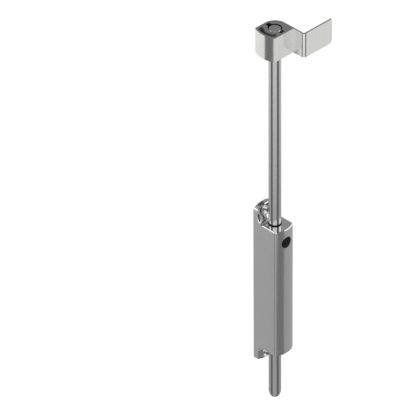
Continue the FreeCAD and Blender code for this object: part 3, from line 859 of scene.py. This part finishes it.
def eased_arc(half, radius, ease, crown):
    """Points from the right side, over an arc whose crown is at that height, to the left side.

    The arc's centre is at crown - radius. The small corner arcs have their centres at a distance
    radius - ease from it and ease inside the sides.
    """
    centre = crown - radius
    corner = math.sqrt((radius - ease)**2 - (half - ease)**2)
    lean = math.degrees(math.atan2(corner, half - ease))
    return np.vstack([
        swing(half - ease, centre + corner, ease, 0, lean, 11)[:-1],
        swing(0.0, centre, radius, lean, 180 - lean, 65),
        swing(ease - half, centre + corner, ease, 180 - lean, 180, 11)[1:],
    ])


def prism(loop, axis, start, stop):
    """A closed block: a loop carried along an axis from start to stop. The loop holds the other two
    coordinates, in the order x, y, z."""
    ends = [np.insert(loop, axis, place, axis=1) for place in (start, stop)]
    return capped(np.vstack(ends), len(loop))


def recess_outline(s, level, away):
    """Side view of what is milled off in front of a lobe; away is 1 at the top and -1 below."""
    far, r, face = 40.0 * MM, s.cove_radius, -s.lobe_thickness
    end = level + away * far
    cove = swing(face - r, r, r, 0, -90, 25) * [1.0, away] + [0.0, level]
    return np.vstack([[[face, end]], cove, [[-2 * far, level], [-2 * far, end]]])


def chamfer_rim(obj, s, bottom, top):
    """Chamfers the outline of both milled ends: their edges in front of the lobes where the faces
    on the two sides meet at an angle."""
    work = bmesh.new()
    work.from_mesh(obj.data)
    tiny, least = 1e-6, math.radians(30)

    def at_end(point):
        level = point.z > top - tiny or point.z < bottom + tiny
        return level and point.y < tiny - s.lobe_thickness

    rim = [e for e in work.edges if at_end(e.verts[0].co) and at_end(e.verts[1].co)
           and len(e.link_faces) == 2 and e.calc_face_angle(0.0) > least]
    bmesh.ops.bevel(work, geom=rim, offset=s.rim_chamfer, offset_type="OFFSET", segments=1,
                    profile=0.5, affect="EDGES", clamp_overlap=False)
    work.to_mesh(obj.data)
    work.free()
    tidy_mesh(obj.data)


def housing_bores(s, bottom, top):
    """Cutters for the bore with its seats, the keyway, the brake's bore and the fixing holes."""
    low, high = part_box("housing")
    ring_low, ring_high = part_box("lower_ring")
    seat_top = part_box("lower_bush")[1][2]
    gap, roof = s.fixed_gap, top - s.top_wall
    main = stepped(bottom - PAST, (s.lower_seat, ring_low[2] - gap),
                   (s.lower_seat + s.ring_depth, ring_high[2] + gap), (s.lower_seat, seat_top),
                   (s.main_bore, roof), (s.lip_inner + s.lip_wall + gap, high[2] + PAST))
    half, deep = s.keyway_half, ROD_Y + s.main_bore + s.keyway_depth
    keyway = np.array([[-half, ROD_Y], [half, ROD_Y], [half, deep], [-half, deep]])
    brake = stepped(0.0, (s.brake_bore, s.plug_reach), (s.plug_bore, s.seat_reach),
                    (s.cap_seat, high[1] - low[1]))
    wide, narrow, depth = s.countersink, s.fixing_hole, s.lobe_thickness
    fixing = [(0.0, -PAST), (narrow, -PAST), (narrow, depth - wide + narrow),
              (wide + PAST, depth + PAST), (0.0, depth + PAST)]
    return [turned(main, (0.0, ROD_Y, 0.0), (0, 0, 1), 128),
            prism(keyway, 2, bottom - PAST, roof),
            turned(brake, (0.0, ROD_Y, middle("brake_cap")[2]), (0, -1, 0)),
            *[turned(fixing, (0.0, 0.0, z), (0, -1, 0), 64)
              for z in (high[2] - s.fixing_inset, low[2] + s.fixing_inset)]]


class GATEBOLT_OT_housing(bpy.types.Operator):
    """Build the housing: its extrusion, arched ends, milled lobes, chamfers and bores"""
    bl_idname = "gatebolt.housing"
    bl_label = "Housing"

    def execute(self, context):
        s = context.scene.gate_bolt_sizes
        low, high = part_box("housing")
        half = high[0]
        front = eased_arc(half, arc_radius(half, s.front_bulge), s.front_corner, high[1] - low[1])
        plan = np.vstack([front * [1.0, -1.0], [[-half, 0.0], [half, 0.0]]])
        body = piece("housing_body", prism(plan, 2, low[2], high[2]), "housing", "housing",
                     "housing")
        arch = eased_arc(half, s.arch_radius, s.arch_corner, high[2])
        behind, ahead = 10.0 * MM, -60.0 * MM
        cut_holes(body, [prism(np.vstack([arch, -arch]), 1, behind, ahead)], "INTERSECT")
        top, bottom = high[2] - s.upper_lobe, low[2] + s.lower_lobe
        cut_holes(body, [prism(recess_outline(s, level, away), 0, -2 * half, 2 * half)
                         for level, away in ((top, 1.0), (bottom, -1.0))])
        chamfer_rim(body, s, bottom, top)
        cut_holes(body, housing_bores(s, bottom, top))
        return {"FINISHED"}


def rod_profile(s):
    """Profile of the rod from its top down: chamfer, straight side, ring grooves, cone and ball."""
    low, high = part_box("rod")
    collar_low, collar_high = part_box("stop_collar")
    top, r = high[2] - low[2], (high[0] - low[0]) / 2
    cone, ball = s.tip_cone, s.tip_radius
    touch = ball * math.cos(cone), ball * (1 - math.sin(cone))
    side = touch[1] + (r - touch[0]) / math.tan(cone)
    profile = [(0.0, top), (r - s.rod_chamfer, top), (r, top - s.rod_chamfer)]
    for upper in (collar_high[2] - low[2] + s.ring_width, collar_low[2] - low[2]):
        lower, floor = upper - s.ring_width, r - s.ring_groove
        profile += [(r, upper), (floor, upper), (floor, lower), (r, lower)]
    return profile + [(r, side), *swing(0.0, ball, ball, -math.degrees(cone), -90.0, 25)]


def groove_sweep(s):
    """Cutter for the part-round groove that the dog screw's tip runs in.

    Its half height is h(t) = sqrt(half^2 - e^2), where e is how far the angle t, as a length on
    the rod, lies past either end of the quarter turn.
    """
    level, reach, rod_r = middle("stop_collar")[2], 9.5 * MM, 8.0 * MM
    round_end = s.groove_half / rod_r
    ends = np.linspace(0.0, math.pi / 2, 9)
    along = np.linspace(0.06, 0.94, 17) * math.pi / 2
    t = np.concatenate([-round_end * np.cos(ends), along, math.pi / 2 + round_end * np.sin(ends)])
    t -= math.pi / 2
    half = s.groove_half * np.concatenate([np.sin(ends), np.ones(17), np.cos(ends)])
    half += SAME_POINT / 2
    floor = s.groove_floor
    rings = [np.stack([radius * np.cos(t), ROD_Y + radius * np.sin(t), level + side * half], axis=1)
             for radius, side in ((floor, -1), (reach, -1), (reach, 1), (floor, 1))]
    count, corners = len(t), np.arange(4) * len(t)
    faces = [corners.tolist(), (corners + count - 1).tolist()]
    for first, second in zip(corners, np.roll(corners, -1)):
        faces += strip(count, first, second)[:-1]
    return np.vstack(rings), faces


class GATEBOLT_OT_rod(bpy.types.Operator):
    """Build the rod with its rounded tip, grooves and pin hole, and finish its rings"""
    bl_idname = "gatebolt.rod"
    bl_label = "Rod"

    def execute(self, context):
        s = context.scene.gate_bolt_sizes
        bar = turned(rod_profile(s), (0.0, ROD_Y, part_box("rod")[0][2]), (0, 0, 1), 128)
        obj = piece("rod_bar", bar, "rod", "rod", "rod")
        low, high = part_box("cross_pin")
        hole, reach = (high[2] - low[2]) / 2 + s.fixed_gap, 12.0 * MM
        start = (0.0, ROD_Y - reach, middle("cross_pin")[2])
        hole = turned(stepped(0.0, (hole, 2 * reach)), start, (0, 1, 0), 48)
        cut_holes(obj, [hole, groove_sweep(s)])
        dress("steel", "rod_rings")
        return {"FINISHED"}


def set_screw_levels(s):
    """Heights of the two set screws, half their distance below and above the handle's middle."""
    return [middle("handle")[2] + way * s.set_screw_spacing / 2 for way in (-1, 1)]


class GATEBOLT_OT_handle(bpy.types.Operator):
    """Build the handle with its pocket, slots, eased edges and set screw holes"""
    bl_idname = "gatebolt.handle"
    bl_label = "Handle"

    def execute(self, context):
        s = context.scene.gate_bolt_sizes
        shape, painted_shade_faces = handle_shell(s)
        obj = piece("handle_body", shape, "handle", "rod", "handle", painted_shade_faces)
        inside, reach = 8.5 * MM, 12.0 * MM
        hole = stepped(0.0, (s.set_screw_hole, reach))
        cut_holes(obj, [turned(hole, (inside, ROD_Y, level), (1, 0, 0), 48)
                        for level in set_screw_levels(s)])
        return {"FINISHED"}


class GATEBOLT_OT_fasteners(bpy.types.Operator):
    """Build the set screws, the cross pin and the brake screw, and finish the dog screw, the stop
    collar, the collar key and the lower ring
    """
    bl_idname = "gatebolt.fasteners"
    bl_label = "Fasteners"

    def execute(self, context):
        s = context.scene.gate_bolt_sizes
        low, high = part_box("handle_set_screws")
        r, socket, reach = s.set_screw_radius, s.set_screw_socket, high[0] - low[0]
        screws = [threaded(s, (low[0], ROD_Y, level), (1, 0, 0), reach, r, socket, socket)
                  for level in set_screw_levels(s)]
        piece("set_screws", joined(screws), "steel", "rod", "handle_set_screws")

        low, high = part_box("cross_pin")
        r, reach, edge = (high[2] - low[2]) / 2, high[1] - low[1], s.pin_chamfer
        profile = [(0.0, 0.0), (r - edge, 0.0), (r, edge), (r, reach - edge), (r - edge, reach),
                   (0.0, reach)]
        pin = turned(profile, (0.0, low[1], middle("cross_pin")[2]), (0, 1, 0), 48)
        piece("cross_pin_turned", pin, "steel", "rod", "cross_pin")

        low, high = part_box("brake_screw")
        screw = threaded(s, (0.0, high[1], middle("brake_screw")[2]), (0, -1, 0), high[1] - low[1],
                         (high[0] - low[0]) / 2, s.brake_screw_flats, s.brake_screw_socket, 60)
        piece("brake_screw_threaded", screw, "steel", "housing", "brake_screw")
        dress("steel", "dog_screw", "stop_collar", "collar_key", "lower_ring")
        return {"FINISHED"}


def coil(s, sides=12, steps_a_turn=40):
    """Compression spring along Y: a round wire carried along a coil.

    The wire's middle at the share u of its length is (R cos a, Y(u), R sin a) with a = 2 pi n u,
    where n is the number of turns. Y rises evenly, but stands still over most of the first and
    last half turn, so that both ends lie flat. The wire's circle is at right angles to the coil.
    """
    low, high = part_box("brake_spring")
    centre = middle("brake_spring")
    wire_r = s.spring_wire / 2
    mean_r = (high[0] - low[0]) / 2 - wire_r
    reach, count = high[1] - low[1] - s.spring_wire, s.spring_turns + 1.0
    u = np.linspace(0.0, 1.0, int(count * steps_a_turn) + 1)
    flat = 0.5 / count
    share = np.clip((u - flat) / (1.0 - 2 * flat), 0.0, 1.0)
    a = 2 * math.pi * count * u
    out = np.stack([np.cos(a), np.zeros(len(a)), np.sin(a)], axis=1)
    path = mean_r * out + [centre[0], low[1] + wire_r, centre[2]]
    path[:, 1] += reach * share
    along = np.gradient(path, axis=0)
    along /= np.linalg.norm(along, axis=1)[:, None]
    side = np.cross(along, out)
    t = np.linspace(0.0, 2 * math.pi, sides, endpoint=False)
    ring = np.cos(t)[None, :, None] * out[:, None] + np.sin(t)[None, :, None] * side[:, None]
    return capped((path[:, None] + wire_r * ring).reshape(-1, 3), sides)


class GATEBOLT_OT_brake(bpy.types.Operator):
    """Build the black cap and the spring, and finish the shoe"""
    bl_idname = "gatebolt.brake"
    bl_label = "Brake"

    def execute(self, context):
        s = context.scene.gate_bolt_sizes
        low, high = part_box("brake_cap")
        level = middle("brake_cap")[2]
        r, depth = (high[0] - low[0]) / 2, high[1] - low[1]
        plug_r, plug, ease, edge = s.plug_radius, s.plug_length, s.pin_chamfer, s.cap_edge
        rim, dome_r = depth - s.cap_dome, arc_radius(r, s.cap_dome)
        profile = [(0.0, 0.0), (plug_r - ease, 0.0), (plug_r, ease), (plug_r, plug), (r, plug),
                   *swing(r - edge, rim - edge, edge, 0, 70, 5)]
        profile += [(r * k, depth - dome_r + math.sqrt(dome_r**2 - (r * k)**2))
                    for k in np.linspace(0.95, 0.0, 14)]
        cap = turned(profile, (0.0, high[1], level), (0, -1, 0))
        piece("brake_cap_moulded", cap, "cap", "housing", "brake_cap")

        spring = piece("brake_spring_coil", coil(s), "steel", "housing",
                       "brake_spring")
        low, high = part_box("brake_spring")
        joint = next(j for j in frame["joints"] if j["name"] == "brake_shoe_travel")
        travel, reach = max(joint["range_m"]), high[1] - low[1]
        (reach - travel) / reach
        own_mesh(spring)
        dress("nylon", "brake_shoe")
        return {"FINISHED"}


class GATEBOLT_OT_seals(bpy.types.Operator):
    """Build the upper wiper with its rounded lip, and finish the lower wiper and the bushes"""
    bl_idname = "gatebolt.seals"
    bl_label = "Seals and bushes"

    def execute(self, context):
        s = context.scene.gate_bolt_sizes
        low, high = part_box("upper_wiper")
        inner, outer, wall = s.lip_inner, (high[0] - low[0]) / 2, s.lip_inner + s.lip_wall
        r, flange = s.lip_wall / 2, s.lip_flange
        tall = high[2] - low[2] - r
        profile = [(inner, 0.0), (outer, 0.0), (outer, flange), (wall, flange), (wall, tall),
                   *swing(inner + r, tall, r, 0, 180, 9)[1:], (inner, 0.0)]
        ring = turned(profile, (0.0, ROD_Y, low[2]), (0, 0, 1))
        piece("upper_wiper_lip", ring, "rubber", "housing", "upper_wiper")
        dress("rubber", "lower_wiper")
        dress("bush", "upper_bush", "lower_bush")
        return {"FINISHED"}


# The room that the metal reflects. Angles are in degrees from the camera's direction and heights
# are sines. A pair of numbers is a soft step, from its start to its end.
SOFT_BOXES = (-90, 16, 0.57, 0.17), (112, 33, 0.36, 0.29)   # angle, half width, height, half height
BOX_EDGES = 4, 0.06                                         # soft edges in angle and height
DIM_FROM, DIM_TO, DIM_SHARE = (60, 76), (90, 150), 0.12     # the dimmer stretch on the right
FRONT = (0.02, 0.20), (-0.20, 0.10)         # brighter in front: height, part towards the camera
BEHIND = (0.05, 0.35), (0.20, 0.50)         # the ceiling: height, part away from the camera
OVERHEAD = (0.60, 0.68), (0.44, 0.56)       # its darker part, the same way
FLAG_TOP_EDGE = 0.03
FLAG_TURNS_FROM, FLAG_TURNS_TO = (0.40, 0.48), (0.70, 0.90)     # on the floor, radii in metres
FLAG_TURN_CLOSE = 0.3       # share of the turn that is left right below the object
FLOOR_REACH = 60.0          # half the floor's width
FLOOR_GLOW = 0.27           # keeps the dull floor white to the camera
FLOOR_PALE = (0.9, 0.9, 0.9, 1.0)
WHITE = (1.0, 1.0, 1.0, 1.0)


def bearings(x, y, studio):
    """Angle from the camera's direction round the object, and the part towards the camera."""
    a = studio.azimuth
    towards = x * math.sin(a) - y * math.cos(a)
    return x.maths("ARCTAN2", x * math.cos(a) + y * math.sin(a), towards), towards


def wall_level(angle, studio, bright, turned_in=0.0):
    """Brightness of walls or floor by angle: two dark flags stand beside the camera, and the right
    side is a little dimmer. Gives the brightness with and without the flags."""
    left = angle.near(studio.left_flag, studio.left_half, studio.flag_edge)
    right = (angle + turned_in).near(studio.right_flag, studio.right_half, studio.flag_edge)
    dim = angle.rise(*np.radians(DIM_FROM)) * (1.0 - angle.rise(*np.radians(DIM_TO)))
    level = bright * (1.0 - dim * DIM_SHARE)
    return level.mix(studio.left_flag_light, left).mix(studio.right_flag_light, right), level


def room_world(studio):
    """The room: white to the camera, an even light for dull surfaces, and for reflections bright
    walls, brighter above the horizon in front, with two dark flags, two soft boxes at the sides
    and a darker ceiling behind the object."""
    world = bpy.data.worlds.new("studio_room")
    bpy.context.scene.world = world
    wire = blank(world)
    x, y, z = wire.make("ShaderNodeTexCoord").parts()
    angle, towards = bearings(x, y, studio)
    front = z.rise(*FRONT[0]) * towards.rise(*FRONT[1])
    bright = front * (studio.front_light - studio.wall_light) + studio.wall_light
    flagged, plain = wall_level(angle, studio, bright)
    above = z.rise(studio.flag_top - FLAG_TOP_EDGE, studio.flag_top + FLAG_TOP_EDGE)
    edge, z_edge = BOX_EDGES
    left_box, right_box = (
        angle.near(*np.radians((turn, half, edge))) * z.near(height, reach, z_edge)
        for turn, half, height, reach in SOFT_BOXES)
    behind, overhead = (z.rise(*height) * (-towards).rise(*away)
                        for height, away in (BEHIND, OVERHEAD))
    ceiling = overhead * (studio.ceiling_dark - studio.ceiling_light) + studio.ceiling_light
    level = flagged.mix(plain, above).mix(ceiling, behind)
    level = level.mix(studio.box_light, left_box.highest(right_box))
    camera, glossy = wire.make("ShaderNodeLightPath", output=("Is Camera Ray", "Is Glossy Ray"))
    strength = level.mix(studio.room_light, 1.0 - glossy).mix(1.0, camera)
    surface = wire.make("ShaderNodeBackground", None, {"Color": WHITE, "Strength": strength})
    wire.make("ShaderNodeOutputWorld", None, {"Surface": surface})


def pale_floor(studio):
    """A wide plain floor. It is pale and dull, white to the camera, and in reflections it glows
    with the room's walls and flags, with a painted shadow that makes it darker close below the
    object."""
    z = float(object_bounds()[0][2]) - studio.floor_drop
    corners = np.array([[-1, -1, 0], [1, -1, 0], [1, 1, 0], [-1, 1, 0]], float) * FLOOR_REACH
    floor = mesh_object("studio_floor", corners + [0, 0, z], [[0, 1, 2, 3]])
    material, place = new_finish("pale_floor")
    x, y, _ = place.parts()
    radius = place.maths("SQRT", x * x + y * y)
    # Painted shadow: in reflections the floor is darker close below the object, as if shaded by it.
    near, far = studio.near_light, studio.wall_light
    bright = radius.rise(studio.near_floor, studio.far_floor) * (far - near) + near
    turned_in = radius.rise(*FLAG_TURNS_FROM) * (1.0 - FLAG_TURN_CLOSE) + FLAG_TURN_CLOSE
    turned_in *= (1.0 - radius.rise(*FLAG_TURNS_TO)) * studio.near_turn
    level, _ = wall_level(bearings(x, y, studio)[0], studio, bright, turned_in)
    camera, glossy = place.make("ShaderNodeLightPath", output=("Is Camera Ray", "Is Glossy Ray"))
    dull = place.make("ShaderNodeBsdfDiffuse", None, {"Color": FLOOR_PALE})
    glow = place.make("ShaderNodeEmission", None, {"Color": WHITE, "Strength": FLOOR_GLOW})
    seen = place.make("ShaderNodeAddShader", None, {0: dull, 1: glow})
    mirrored = place.make("ShaderNodeEmission", None, {"Color": WHITE, "Strength": level})
    surface = place.make("ShaderNodeMixShader", None, {0: camera, 1: dull, 2: seen})
    surface = place.make("ShaderNodeMixShader", None, {0: glossy, 1: surface, 2: mirrored})
    place.make("ShaderNodeOutputMaterial", None, {"Surface": surface})
    floor.data.materials.append(material)
    floor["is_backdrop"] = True


def place_camera(studio):
    """A long lens from the front left, above; the picture's centre lies beside the rod."""
    a, e = studio.azimuth, studio.elevation
    back = Vector((math.sin(a) * math.cos(e), -math.cos(a) * math.cos(e), math.sin(e)))
    right = Vector((math.cos(a), math.sin(a), 0.0))
    up = back.cross(right)
    aim = Vector((0.0, ROD_Y, studio.aim_height))
    data = bpy.data.cameras.new("camera")
    data.lens, data.sensor_width, data.clip_start, data.clip_end = studio.lens, 36.0, 0.1, 100.0
    camera = bpy.data.objects.new("camera", data)
    bpy.context.scene.collection.objects.link(camera)
    camera.location = aim + back * studio.distance
    centre = aim - right * studio.frame_left + up * studio.frame_up
    turned_back = (camera.location - centre).normalized()
    turned_right = up.cross(turned_back).normalized()
    axes = Matrix((turned_right, turned_back.cross(turned_right), turned_back))
    camera.rotation_euler = axes.transposed().to_euler()
    bpy.context.scene.camera = camera


class GATEBOLT_OT_stage(bpy.types.Operator):
    """Make the camera, the pale floor and the soft room"""
    bl_idname = "gatebolt.stage"
    bl_label = "Stage"

    def execute(self, context):
        studio = context.scene.gate_bolt_studio
        context.scene.view_settings.view_transform = "Standard"
        place_camera(studio)
        pale_floor(studio)
        room_world(studio)
        return {"FINISHED"}


OPERATORS = (GATEBOLT_OT_stage, GATEBOLT_OT_housing, GATEBOLT_OT_rod, GATEBOLT_OT_handle,
             GATEBOLT_OT_fasteners, GATEBOLT_OT_brake, GATEBOLT_OT_seals)
GROUPS = {"sizes": GateBoltSizes, "colours": GateBoltColours, "studio": GateBoltStudio}


class GATEBOLT_PT_panel(bpy.types.Panel):
    """Lists the pieces of the gate bolt"""
    bl_label = "Gate bolt"
    bl_idname = "GATEBOLT_PT_panel"
    bl_space_type = "VIEW_3D"
    bl_region_type = "UI"
    bl_category = "Gate bolt"

    def draw(self, context):
        for operator in OPERATORS:
            self.layout.operator(operator.bl_idname)


CLASSES = (*GROUPS.values(), *OPERATORS, GATEBOLT_PT_panel)


def register():
    for item in CLASSES:
        bpy.utils.register_class(item)
    for name, group in GROUPS.items():
        setattr(bpy.types.Scene, "gate_bolt_" + name, PointerProperty(type=group))


def unregister():
    for name in GROUPS:
        delattr(bpy.types.Scene, "gate_bolt_" + name)
    for item in reversed(CLASSES):
        bpy.utils.unregister_class(item)


def main():
    register()
    for operator in OPERATORS:
        group, name = operator.bl_idname.split(".")
        getattr(getattr(bpy.ops, group), name)()
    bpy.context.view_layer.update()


if __name__ == "__main__":
    main()
